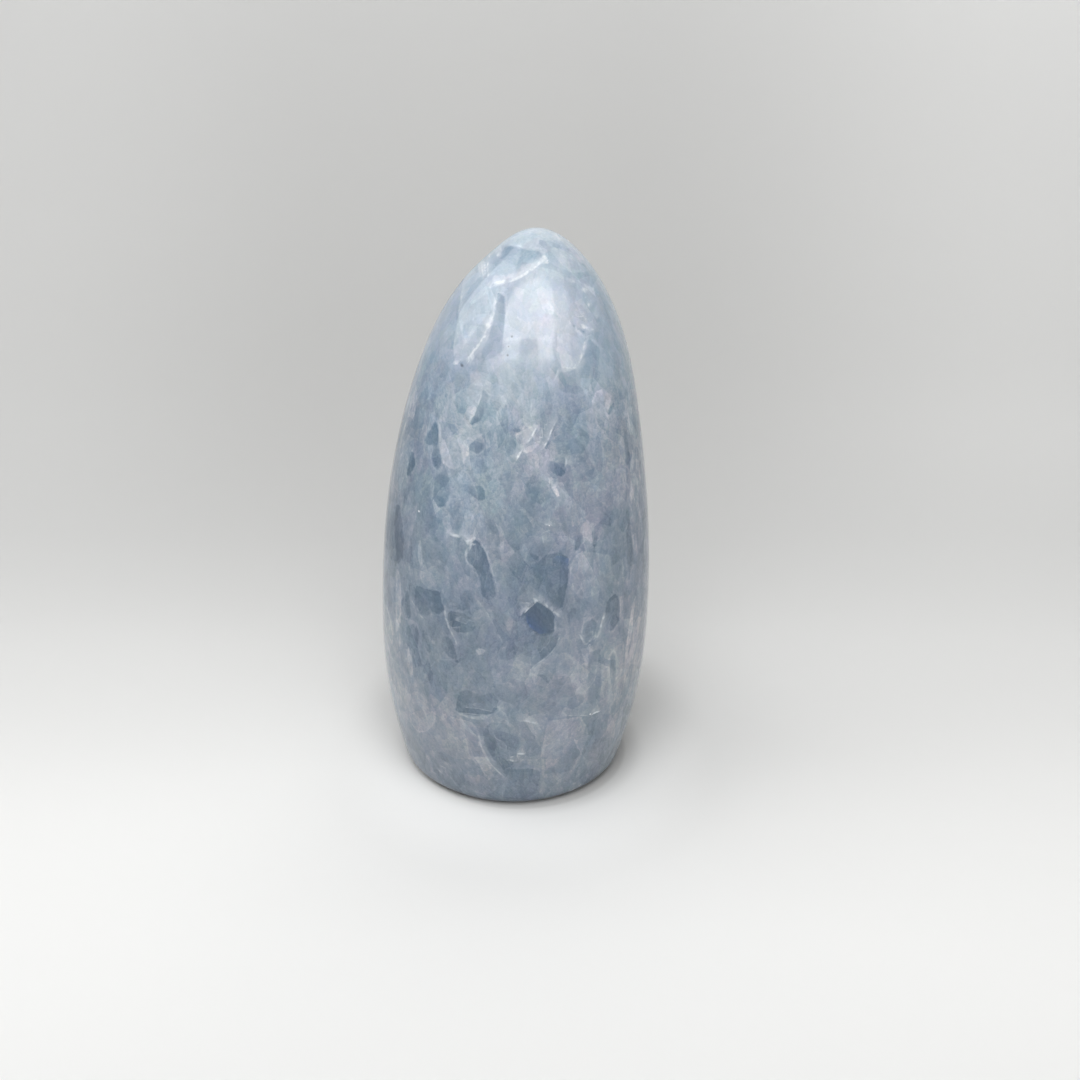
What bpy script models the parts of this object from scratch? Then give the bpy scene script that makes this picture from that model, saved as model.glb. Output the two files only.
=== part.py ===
"""A polished blue calcite freeform: one stone with a flat sawn base and a rounded, leaning tip.

The stone is one solid that was ground by hand, so it is one object. Its shape is a stack of
cross-sections. Each section is a softened oval whose half width, half depth and centre are
read from a few stations up the height, and gentle ground flats are pressed into the sides.
Frame: metres, +Z up, the front looks along -Y, the origin is under the middle of the
bounding box, on the plane that the stone stands on.
"""

import math

import bmesh
import bpy
import numpy as np

MM = 0.001

# Driving dimensions
HEIGHT = 118.0 * MM
TIP_RADIUS_ACROSS = 8.2 * MM  # radius of the rounded tip, seen from the front
TIP_RADIUS_DEEP = 7.6 * MM  # the same, seen from the side
TIP_CENTRE = (5.0 * MM, 3.4 * MM)  # the tip leans to the right and a little back
BASE_EDGE_RADIUS = 2.8 * MM  # ground round where the side meets the sawn base

# Sections up the stone. Lengths are in millimetres; a power of 2 is an ellipse, more is squarer.
# height, half width, half depth, centre x, centre y, power
STATIONS = (
    (0.0, 24.3, 23.3, -0.9, -0.1, 2.0),
    (12.0, 27.1, 24.5, -0.6, -0.2, 2.1),
    (28.0, 29.0, 26.0, -0.2, -0.3, 2.2),
    (45.0, 29.0, 26.1, 0.3, -0.1, 2.3),
    (62.0, 27.7, 25.0, 0.9, 0.4, 2.3),
    (78.0, 25.2, 22.8, 1.7, 1.1, 2.3),
    (92.0, 21.8, 19.6, 2.6, 1.9, 2.2),
    (103.0, 17.2, 15.5, 3.4, 2.6, 2.1),
    (111.0, 11.5, 10.3, 4.3, 3.1, 2.0),
)
TIP_POWER = 2.0

# Where a grinding wheel left the side a little flatter or fuller than the oval:
# azimuth in degrees (0 is the right side, 270 the front), height, reach round the side,
# reach up the side, and how far the surface is pressed in (a minus sign raises it).
GROUND_FLATS = (
    (238.0, 88.0 * MM, 17.0 * MM, 20.0 * MM, 0.7 * MM),
    (312.0, 60.0 * MM, 15.0 * MM, 30.0 * MM, 0.5 * MM),
    (205.0, 40.0 * MM, 14.0 * MM, 26.0 * MM, 0.5 * MM),
    (35.0, 76.0 * MM, 18.0 * MM, 24.0 * MM, 0.9 * MM),
    (120.0, 50.0 * MM, 22.0 * MM, 34.0 * MM, 1.1 * MM),
    (150.0, 96.0 * MM, 12.0 * MM, 14.0 * MM, 0.6 * MM),
    (75.0, 22.0 * MM, 18.0 * MM, 16.0 * MM, -0.5 * MM),
    (190.0, 113.5 * MM, 7.0 * MM, 3.0 * MM, 0.5 * MM),
    (228.0, 4.0 * MM, 16.0 * MM, 18.0 * MM, 0.8 * MM),
)

# Mesh fineness
STEPS_PER_QUARTER = 20  # divisions round each quarter of the stone
BODY_RINGS = 33
EDGE_RINGS = 6  # rings over the ground round at the base
CAP_START = 0.80  # share of the way up the profile where the tip's own grid begins

CALCITE_BLUE = (0.30, 0.36, 0.44, 1.0)


def smooth_line(knots, values, at):
    """A natural cubic spline through the values at the knots, read at the given places."""
    knots = np.asarray(knots, float)
    values = np.asarray(values, float)
    gap = np.diff(knots)
    slope = np.diff(values) / gap
    count = len(knots)
    system = np.eye(count)
    right = np.zeros(count)
    for i in range(1, count - 1):
        system[i, i - 1 : i + 2] = gap[i - 1], 2 * (gap[i - 1] + gap[i]), gap[i]
        right[i] = 6 * (slope[i] - slope[i - 1])
    bend = np.linalg.solve(system, right)
    at = np.asarray(at, float)
    i = np.clip(np.searchsorted(knots, at) - 1, 0, count - 2)
    before = at - knots[i]
    after = knots[i + 1] - at
    cubes = (bend[i] * after**3 + bend[i + 1] * before**3) / (6 * gap[i])
    low = (values[i] / gap[i] - bend[i] * gap[i] / 6) * after
    high = (values[i + 1] / gap[i] - bend[i + 1] * gap[i] / 6) * before
    return cubes + low + high


def section(climb):
    """Size and place of the section at a climb from 0 (base) to 1 (tip).

    The climb is an angle up a dome, so that the tip closes in a round. Every station's half
    width is a share of that dome's, and the shares change slowly from one to the next.
    """
    stations = np.array(STATIONS)
    stations[:, :5] *= MM
    heights = np.append(stations[:, 0], HEIGHT)
    dome = np.sqrt(1 - (stations[:, 0] / HEIGHT) ** 2)
    tip_across = math.sqrt(TIP_RADIUS_ACROSS * HEIGHT)
    tip_deep = math.sqrt(TIP_RADIUS_DEEP * HEIGHT)
    angle = np.asarray(climb, float) * math.pi / 2
    height = HEIGHT * np.sin(angle)
    across = smooth_line(heights, np.append(stations[:, 1] / dome, tip_across), height)
    deep = smooth_line(heights, np.append(stations[:, 2] / dome, tip_deep), height)
    centre_x = smooth_line(heights, np.append(stations[:, 3], TIP_CENTRE[0]), height)
    centre_y = smooth_line(heights, np.append(stations[:, 4], TIP_CENTRE[1]), height)
    power = smooth_line(heights, np.append(stations[:, 5], TIP_POWER), height)
    return height, across * np.cos(angle), deep * np.cos(angle), centre_x, centre_y, power


def pressed_in(azimuth, height, radius):
    """How far the ground flats move the surface inwards at a point of the side."""
    total = np.zeros(np.broadcast(azimuth, height).shape)
    for flat_azimuth, flat_height, reach_round, reach_up, depth in GROUND_FLATS:
        turn = azimuth - math.radians(flat_azimuth)
        turn = np.arctan2(np.sin(turn), np.cos(turn))
        away = (turn * radius / reach_round) ** 2 + ((height - flat_height) / reach_up) ** 2
        total = total + depth * np.exp(-away)
    return total


def surface(azimuth, climb, inset=0.0):
    """Points of the stone's side at the given azimuths and climbs, moved inwards by the inset."""
    azimuth, climb = np.broadcast_arrays(azimuth, climb)
    height, across, deep, centre_x, centre_y, power = section(climb)
    across = np.maximum(across - inset, 1e-9)
    deep = np.maximum(deep - inset, 1e-9)
    cosine, sine = np.cos(azimuth), np.sin(azimuth)
    oval = (np.abs(cosine) / across) ** power + (np.abs(sine) / deep) ** power
    radius = oval ** (-1 / power)
    fade = 1 - np.clip((climb - CAP_START) / (1 - CAP_START), 0, 1) ** 2
    radius = radius - fade * pressed_in(azimuth, height, radius)
    return np.stack((centre_x + radius * cosine, centre_y + radius * sine, height), axis=-1)


def quarter_angles():
    """Azimuths from -45 to 45 degrees, which each quarter of a ring and of the cap's grid share."""
    return np.linspace(-math.pi / 4, math.pi / 4, STEPS_PER_QUARTER + 1)


def ring_azimuths():
    """Azimuths of one whole ring, a quarter at a time, starting at -45 degrees."""
    quarter = quarter_angles()[:-1]
    return np.concatenate([quarter + turn * math.pi / 2 for turn in range(4)])


def edge_rings(azimuths):
    """Rings over the ground round at the base, from the flat outwards and up."""
    rings = []
    for step in range(EDGE_RINGS):
        angle = step / EDGE_RINGS * math.pi / 2
        rise = BASE_EDGE_RADIUS * (1 - math.cos(angle))
        inset = BASE_EDGE_RADIUS * (1 - math.sin(angle))
        climb = math.asin(rise / HEIGHT) / (math.pi / 2)
        rings.append(surface(azimuths, climb, inset))
    return rings


def body_rings(azimuths):
    """Rings up the side, from the top of the ground round to just below the tip's grid."""
    first = math.asin(BASE_EDGE_RADIUS / HEIGHT) / (math.pi / 2)
    climbs = np.linspace(first, CAP_START, BODY_RINGS, endpoint=False)
    return [surface(azimuths, climb) for climb in climbs]


def tip_grid():
    """A square grid bent over the tip, so that no fan of thin faces meets there."""
    line = math.sqrt(2) * np.sin(quarter_angles())
    x, y = np.meshgrid(line, line, indexing="ij")
    disc_x = x * np.sqrt(1 - y**2 / 2)
    disc_y = y * np.sqrt(1 - x**2 / 2)
    share = np.clip(np.hypot(disc_x, disc_y), 0, 1)
    return surface(np.arctan2(disc_y, disc_x), 1 - (1 - CAP_START) * share)


def grid_border(size):
    """Grid places round the tip grid's border, in the order of a ring's azimuths."""
    last = size - 1
    right = [(last, j) for j in range(last)]
    back = [(i, last) for i in range(last, 0, -1)]
    left = [(0, j) for j in range(last, 0, -1)]
    front = [(i, 0) for i in range(last)]
    return right + back + left + front


def stone_mesh(name):
    """The whole closed surface: a flat base, the rings of the side and the tip's grid."""
    azimuths = ring_azimuths()
    rings = edge_rings(azimuths) + body_rings(azimuths)
    grid = tip_grid()
    points = np.concatenate(rings + [grid.reshape(-1, 3)])
    points[:, :2] -= (points[:, :2].min(axis=0) + points[:, :2].max(axis=0)) / 2

    mesh_data = bmesh.new()
    verts = [mesh_data.verts.new(point) for point in points]
    around = len(azimuths)
    size = STEPS_PER_QUARTER + 1
    grid_start = around * len(rings)

    def grid_vert(i, j):
        return verts[grid_start + i * size + j]

    loops = [verts[k * around : (k + 1) * around] for k in range(len(rings))]
    loops.append([grid_vert(i, j) for i, j in grid_border(size)])
    mesh_data.faces.new(reversed(loops[0]))
    for low, high in zip(loops[:-1], loops[1:]):
        for k in range(around):
            after = (k + 1) % around
            mesh_data.faces.new((low[k], low[after], high[after], high[k]))
    for i in range(size - 1):
        for j in range(size - 1):
            corners = ((i, j), (i + 1, j), (i + 1, j + 1), (i, j + 1))
            mesh_data.faces.new([grid_vert(a, b) for a, b in corners])
    bmesh.ops.recalc_face_normals(mesh_data, faces=mesh_data.faces)
    mesh = bpy.data.meshes.new(name)
    mesh_data.to_mesh(mesh)
    mesh_data.free()
    mesh.shade_smooth()
    return mesh


def polished_calcite():
    """Milky blue calcite with a glossy polish."""
    material = bpy.data.materials.new("polished_blue_calcite")
    material.use_nodes = True
    shader = material.node_tree.nodes["Principled BSDF"]
    shader.inputs["Base Color"].default_value = CALCITE_BLUE
    shader.inputs["Roughness"].default_value = 0.15
    shader.inputs["Metallic"].default_value = 0.0
    return material


def main():
    for old in list(bpy.data.objects):
        bpy.data.objects.remove(old)
    stone = bpy.data.objects.new("calcite_stone", stone_mesh("calcite_stone"))
    stone.data.materials.append(polished_calcite())
    bpy.context.scene.collection.objects.link(stone)


main()
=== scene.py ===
import math

import bmesh
import bpy
import numpy as np
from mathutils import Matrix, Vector, noise


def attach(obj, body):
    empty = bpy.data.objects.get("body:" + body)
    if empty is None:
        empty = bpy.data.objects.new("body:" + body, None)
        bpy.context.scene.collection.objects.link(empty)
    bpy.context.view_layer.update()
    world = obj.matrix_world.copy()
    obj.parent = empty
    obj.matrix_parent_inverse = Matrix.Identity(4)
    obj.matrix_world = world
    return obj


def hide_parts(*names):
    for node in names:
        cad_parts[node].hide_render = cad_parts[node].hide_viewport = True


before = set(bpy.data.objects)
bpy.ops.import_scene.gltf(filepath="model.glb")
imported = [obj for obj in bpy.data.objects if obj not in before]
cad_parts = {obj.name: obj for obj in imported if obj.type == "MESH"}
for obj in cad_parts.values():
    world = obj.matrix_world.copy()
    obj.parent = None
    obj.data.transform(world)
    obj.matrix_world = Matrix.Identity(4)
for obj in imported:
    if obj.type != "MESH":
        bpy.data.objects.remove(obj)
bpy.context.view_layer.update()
print("frame loaded")

mm = 0.001  # the stone's own sizes below are in millimetres

# Node helpers. A value may be a number, a colour or another node's output.


def feed(tree, socket, value):
    if isinstance(value, bpy.types.NodeSocket):
        tree.links.new(value, socket)
    else:
        socket.default_value = value


def addNode(tree, kind, inputs=None, **settings):
    node = tree.nodes.new("ShaderNode" + kind)
    for name, setting in settings.items():
        setattr(node, name, setting)
    for name, value in (inputs or {}).items():
        feed(tree, node.inputs[name], value)
    return node


def calc(tree, operation, a, b=0.0, c=0.0, clamp=False):
    node = addNode(tree, "Math", operation=operation, use_clamp=clamp)
    for socket, value in zip(node.inputs, (a, b, c)):
        feed(tree, socket, value)
    return node.outputs[0]


def calcVector(tree, operation, a, b=(0, 0, 0), scale=None):
    node = addNode(tree, "VectorMath", operation=operation)
    feed(tree, node.inputs[0], a)
    feed(tree, node.inputs[1], b)
    if scale is not None:
        feed(tree, node.inputs["Scale"], scale)
    return node.outputs["Value" if operation in ("DOT_PRODUCT", "LENGTH", "DISTANCE") else "Vector"]


def splitVector(tree, vector):
    return addNode(tree, "SeparateXYZ", {"Vector": vector}).outputs


def joinVector(tree, x=0.0, y=0.0, z=0.0):
    return addNode(tree, "CombineXYZ", {"X": x, "Y": y, "Z": z}).outputs[0]


def rise(tree, value, start, end, low=0.0, high=1.0):
    # smooth step from low to high as the value goes from start to end
    node = addNode(tree, "MapRange", {"Value": value}, interpolation_type="SMOOTHSTEP")
    for name, number in (("From Min", start), ("From Max", end), ("To Min", low), ("To Max", high)):
        feed(tree, node.inputs[name], number)
    return node.outputs[0]


def blendColour(tree, factor, under, over):
    node = addNode(tree, "Mix", data_type="RGBA", blend_type="MIX", clamp_factor=True)
    feed(tree, node.inputs[0], factor)
    feed(tree, node.inputs[6], under)
    feed(tree, node.inputs[7], over)
    return node.outputs[2]


def cloud(tree, place, size, detail=2.0, roughness=0.5, output="Fac"):
    inputs = {"Vector": place, "Scale": 1 / size, "Detail": detail, "Roughness": roughness}
    return addNode(tree, "TexNoise", inputs).outputs[output]


def drift(tree, place, size, detail, roughness):
    # a cloud that goes either way from nought
    return calc(tree, "SUBTRACT", cloud(tree, place, size, detail, roughness), 0.5)


def driftVector(tree, place, size, detail, roughness, reach):
    # the same in three directions, so far at most
    colours = cloud(tree, place, size, detail, roughness, "Color")
    return calcVector(tree, "SCALE", calcVector(tree, "SUBTRACT", colours, (0.5, 0.5, 0.5)), scale=reach)


def floatLine(tree, value, stops):
    # a smooth curve through (value, level) stops
    first, last = stops[0][0], stops[-1][0]
    share = calc(tree, "DIVIDE", calc(tree, "SUBTRACT", value, first), last - first)
    node = addNode(tree, "FloatCurve", {"Value": share})
    curve = node.mapping.curves[0]
    node.mapping.clip_min_y, node.mapping.clip_max_y = -2.0, 2.0
    node.mapping.use_clip = False
    curve.points[0].location = (0, stops[0][1])
    curve.points[-1].location = (1, stops[-1][1])
    for position, level in stops[1:-1]:
        curve.points.new((position - first) / (last - first), level)
    node.mapping.update()
    return node.outputs[0]


# The stone's mesh, made from its solid

stone = {
    "piece": "polished_stone",
    "node": "calcite_stone",
    "slot": "calcite",
    "weldWithin": 0.01,
    "joinAngles": (40, 60),  # triangles that lie this flat and square become one face, in degrees
    "baseRings": (0.95, 0.82, 0.64, 0.44, 0.22),  # rings of the flat base, as shares of its outline
    "fineness": 2,  # times every face is divided in four
    "swayHeight": 0.05,  # the hand polish leaves the side very slightly wavy
    "swayLength": 15.0,
    "swayShift": (3.1, 7.7, 1.9),
    "swayStart": (2.0, 6.0),  # none below the first height, all of it this much above
}


def weldedQuads(source):
    mesh = bmesh.new()
    mesh.from_mesh(source)
    close = stone["weldWithin"] * mm
    bmesh.ops.remove_doubles(mesh, verts=mesh.verts, dist=close)
    mesh.normal_update()
    flat = [f for f in mesh.faces if f.normal.z < -0.999 and f.calc_center_median().z < close]
    bmesh.ops.delete(mesh, geom=flat, context="FACES")
    flatness, squareness = (math.radians(angle) for angle in stone["joinAngles"])
    bmesh.ops.join_triangles(
        mesh, faces=mesh.faces, angle_face_threshold=flatness, angle_shape_threshold=squareness
    )
    return mesh


def closeBase(mesh):
    rim = [edge for edge in mesh.edges if edge.is_boundary]
    ring = sorted({v for edge in rim for v in edge.verts}, key=lambda v: math.atan2(v.co.y, v.co.x))
    middle = sum((v.co for v in ring), Vector()) / len(ring)
    outer = ring
    for share in stone["baseRings"]:
        inner = [mesh.verts.new(middle.lerp(v.co, share)) for v in ring]
        for k in range(len(ring)):
            after = (k + 1) % len(ring)
            mesh.faces.new((outer[after], outer[k], inner[k], inner[after]))
        outer = inner
    centre = mesh.verts.new(middle)
    for k in range(len(outer)):
        mesh.faces.new((outer[(k + 1) % len(outer)], outer[k], centre))
    bmesh.ops.recalc_face_normals(mesh, faces=mesh.faces)


def makeStone():
    work = weldedQuads(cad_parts[stone["node"]].data)
    closeBase(work)
    coarse = bpy.data.meshes.new("stone_coarse")
    work.to_mesh(coarse)
    work.free()
    piece = bpy.data.objects.new(stone["piece"], coarse)
    bpy.context.scene.collection.objects.link(piece)
    divide = piece.modifiers.new("divide", "SUBSURF")
    divide.levels = divide.render_levels = stone["fineness"]
    bpy.context.view_layer.update()
    fine = bpy.data.meshes.new_from_object(piece.evaluated_get(bpy.context.evaluated_depsgraph_get()))
    piece.modifiers.clear()
    piece.data = fine
    fine.name = stone["piece"]
    bpy.data.meshes.remove(coarse)
    fine.shade_smooth()
    return piece


def meshPoints(mesh):
    places = np.zeros(len(mesh.vertices) * 3)
    mesh.vertices.foreach_get("co", places)
    return places.reshape(-1, 3) / mm


def meshNormals(mesh):
    directions = np.zeros(len(mesh.vertices) * 3)
    mesh.vertices.foreach_get("normal", directions)
    return directions.reshape(-1, 3)


def polishSway(mesh):
    places = meshPoints(mesh)
    shift = Vector(stone["swayShift"])
    start, over = stone["swayStart"]
    wave = np.array([noise.noise(Vector(place) / stone["swayLength"] + shift) for place in places])
    wave *= stone["swayHeight"] * np.clip((places[:, 2] - start) / over, 0, 1)
    places += meshNormals(mesh) * wave[:, None]
    mesh.vertices.foreach_set("co", (places * mm).ravel())
    mesh.update()


stonePiece = makeStone()
polishSway(stonePiece.data)
points = meshPoints(stonePiece.data)
normals = meshNormals(stonePiece.data)
print("stone mesh:", len(stonePiece.data.vertices), "vertices,", len(stonePiece.data.polygons), "faces")

# Markings inside the stone, on its front: places are (across, up) in millimetres. Every patch
# has a name, how much lighter (+) or darker (-) than the body it is, its hue (-1 teal, 1 lavender,
# 2 sapphire), the side that it thins out to, in degrees anticlockwise from the right, and corners

shards = (
    # painted reflection: the tip above the cap shade is lighter for the bright room mirrored there
    ("cap", 0.06, -0.2, None, (
        (-4, 119), (-1.8, 114.9), (0, 115.4), (5, 115.1), (8, 114.6), (13, 119),
    )),
    ("cap fold", 0.42, 0.2, 200, ((5, 113.2), (6.4, 114.6), (7.6, 114.6), (7.2, 112.8), (5.2, 112.7))),
    ("tip veil", 0.12, 0.2, 60, (
        (-3.8, 109.3), (-1, 109.9), (1, 110.4), (3.2, 111.2), (3.4, 112.3), (0, 111.2), (-3.6, 110.6),
    )),
    ("left tip", 0.18, 0.0, None, (
        (-6.8, 111.2), (-5.6, 112.2), (-4.9, 112), (-4.6, 110.6), (-5.4, 109.4), (-6.3, 109.8),
    )),
    ("right tip", 0.14, 0.3, 180, (
        (6, 115.5), (10, 115), (13, 112.5), (15, 110.5), (12, 110.8), (8, 112.5), (6.2, 113.4),
    )),
    ("left flake", 0.20, -0.4, 150, (
        (-9.5, 108.5), (-7.5, 110.4), (-4.5, 110), (-3.6, 108.3), (-2.8, 107), (-3.2, 104.5),
        (-3.8, 102.5), (-4.6, 101.2), (-6.2, 99), (-7.5, 97), (-9.5, 95.8), (-11, 96.5), (-10.8, 99),
        (-10.4, 102), (-9.9, 105.5),
    )),
    ("white tip", 0.38, 0.3, 90, ((-11.9, 95.1), (-10.5, 96.3), (-9.7, 96.2), (-9.8, 95.2))),
    ("right flake", 0.17, -0.5, 120, (
        (8.6, 102), (11.3, 103.3), (13, 101.9), (14.2, 100.4), (13.6, 97.8), (12, 95.3), (9.4, 95.5),
        (8.5, 97.5),
    )),
    ("right crest", 0.24, -0.4, None, (
        (12.6, 102.9), (13.4, 102.8), (15.8, 101.4), (15.6, 100.9), (13.6, 101.8),
    )),
    ("under the flake", 0.12, 0.0, 300, (
        (-8, 94.6), (-4, 94.6), (-3.5, 92.8), (-5.5, 91.8), (-7.8, 92.5),
    )),
    ("lobe", 0.17, -0.1, 40, (
        (-13.9, 85.8), (-13.9, 80.5), (-13.2, 77.3), (-11, 76.4), (-9, 77.8), (-7.9, 80), (-7.7, 83),
        (-7.2, 86), (-5.9, 89), (-5.5, 91), (-9, 91.8), (-12, 89),
    )),
    ("middle light", 0.22, -0.4, 30, (
        (0.2, 83.9), (2.5, 84.7), (4.6, 86), (6.2, 84.8), (5.4, 81.8), (3, 80.3), (1, 81.5),
    )),
    ("blotch", 0.20, 0.9, 270, (
        (15.2, 89.3), (16, 90.6), (17.5, 91), (19.5, 89), (18.7, 86.5), (19, 84.5), (18.3, 82.4),
        (17, 82.9), (16, 85), (15.3, 87),
    )),
    ("blotch core", 0.22, 0.2, None, ((15.7, 89), (16.6, 89.6), (17, 88.6), (16.3, 88))),
    ("knot", 0.42, 0.2, None, (
        (6.9, 75.2), (7.9, 74.9), (8.6, 74.2), (9.4, 72.3), (8.7, 71.8), (7.9, 73.3),
    )),
    ("knot veil", 0.12, 0.4, 300, (
        (6, 76.5), (9.2, 75.4), (10.5, 77.3), (14, 78), (14.3, 76.4), (12, 74), (8, 74.8),
    )),
    ("fold", 0.26, 0.4, 90, (
        (-10.2, 65), (-9.2, 67.5), (-8.6, 69.5), (-7, 68.6), (-6.8, 66), (-7.2, 64), (-8.2, 63.1),
        (-9.4, 64.2), (-12.4, 64.3), (-12.6, 65.2),
    )),
    ("left plate", 0.22, -0.1, 60, (
        (-18.5, 55.3), (-16.5, 58.6), (-13, 58.6), (-11.5, 55.8), (-10.3, 53.5), (-9.8, 49.8),
        (-12.6, 49.6), (-13.9, 52.2), (-16.8, 52.2), (-18.4, 53.2),
    )),
    ("small white", 0.30, 0, None, (
        (-7.7, 40.6), (-6.5, 41.2), (-5.2, 40.7), (-5.3, 39.9), (-7, 39.3),
    )),
    ("right plate", 0.24, -0.1, 300, (
        (11.4, 58.5), (12.3, 60.2), (14, 60.9), (16.2, 60), (19.5, 58.5), (20, 53), (19, 51.5),
        (15, 50.6), (10.7, 51.2), (11.1, 55),
    )),
    ("network", 0.12, 0.4, 90, (
        (10.3, 46.5), (12.5, 46), (14, 46.8), (17.6, 46.5), (18.2, 42.5), (16.5, 40.8), (12.8, 42.2),
        (10.6, 43.5),
    )),
    ("low plate", 0.22, 0.4, 330, (
        (3.6, 36.2), (5.5, 37.7), (7.6, 39.3), (9, 41.2), (9.9, 43.6), (12.5, 42), (13.8, 38),
        (12.5, 32), (8, 31), (4, 33),
    )),
    ("deep sapphire", -0.04, 1.5, 40, (
        (2.5, 48.6), (3.8, 49.3), (5.8, 48.6), (7.3, 47.2), (8.1, 45.6), (8, 44.2), (5.3, 44.2),
        (3.2, 46),
    )),
    ("blue corner", -0.05, 1.3, 230, (
        (7.6, 60.2), (9.4, 60.6), (11.2, 59.6), (10.9, 55.6), (9.8, 54.6), (8.2, 56.2),
    )),
    ("left flank light", 0.24, 0, None, (
        (-23.9, 54), (-22.7, 53), (-22.5, 47), (-23.3, 41), (-24.6, 38), (-24.2, 47),
    )),
    ("low left flank light", 0.22, 0.1, None, (
        (-21.7, 37.5), (-20.8, 38), (-20.6, 32), (-21.6, 29), (-22.2, 33),
    )),
    ("small flank light", 0.22, 0.1, None, (
        (-18.6, 62), (-17.9, 62), (-17.4, 57), (-18.2, 55.6), (-18.8, 58),
    )),
    ("right flank light", 0.26, 0, None, ((24.4, 46), (25.2, 47), (24.6, 38), (23.2, 31), (23.2, 37))),
    ("low left light", 0.24, 0.5, 150, (
        (-23.5, 24), (-20, 27.4), (-17.4, 25.6), (-16, 23.5), (-16.6, 19.8), (-18.4, 17), (-20.5, 15),
        (-23.5, 17),
    )),
    ("low right light", 0.22, 0.6, 270, (
        (7, 23.6), (14, 23.1), (15.2, 20), (16, 16.8), (14.6, 13), (14, 9.5), (12, 6), (9, 5), (6, 8),
        (5.5, 14),
    )),
    ("lower left plate", 0.20, 0.5, 200, (
        (-14.5, 24), (-11.5, 23.4), (-8.5, 23), (-7, 21), (-6.6, 17), (-5.2, 13), (-4, 10.8),
        (-6.5, 9.5), (-9, 12.5), (-12.5, 11.5), (-15.5, 12.8), (-16.8, 16), (-16.2, 20),
    )),
    ("base light", 0.12, 0.8, 180, ((-13, 8), (-9, 11), (-5.6, 9), (-3.5, 5), (-6, 2.6), (-12, 4))),
)

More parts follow.
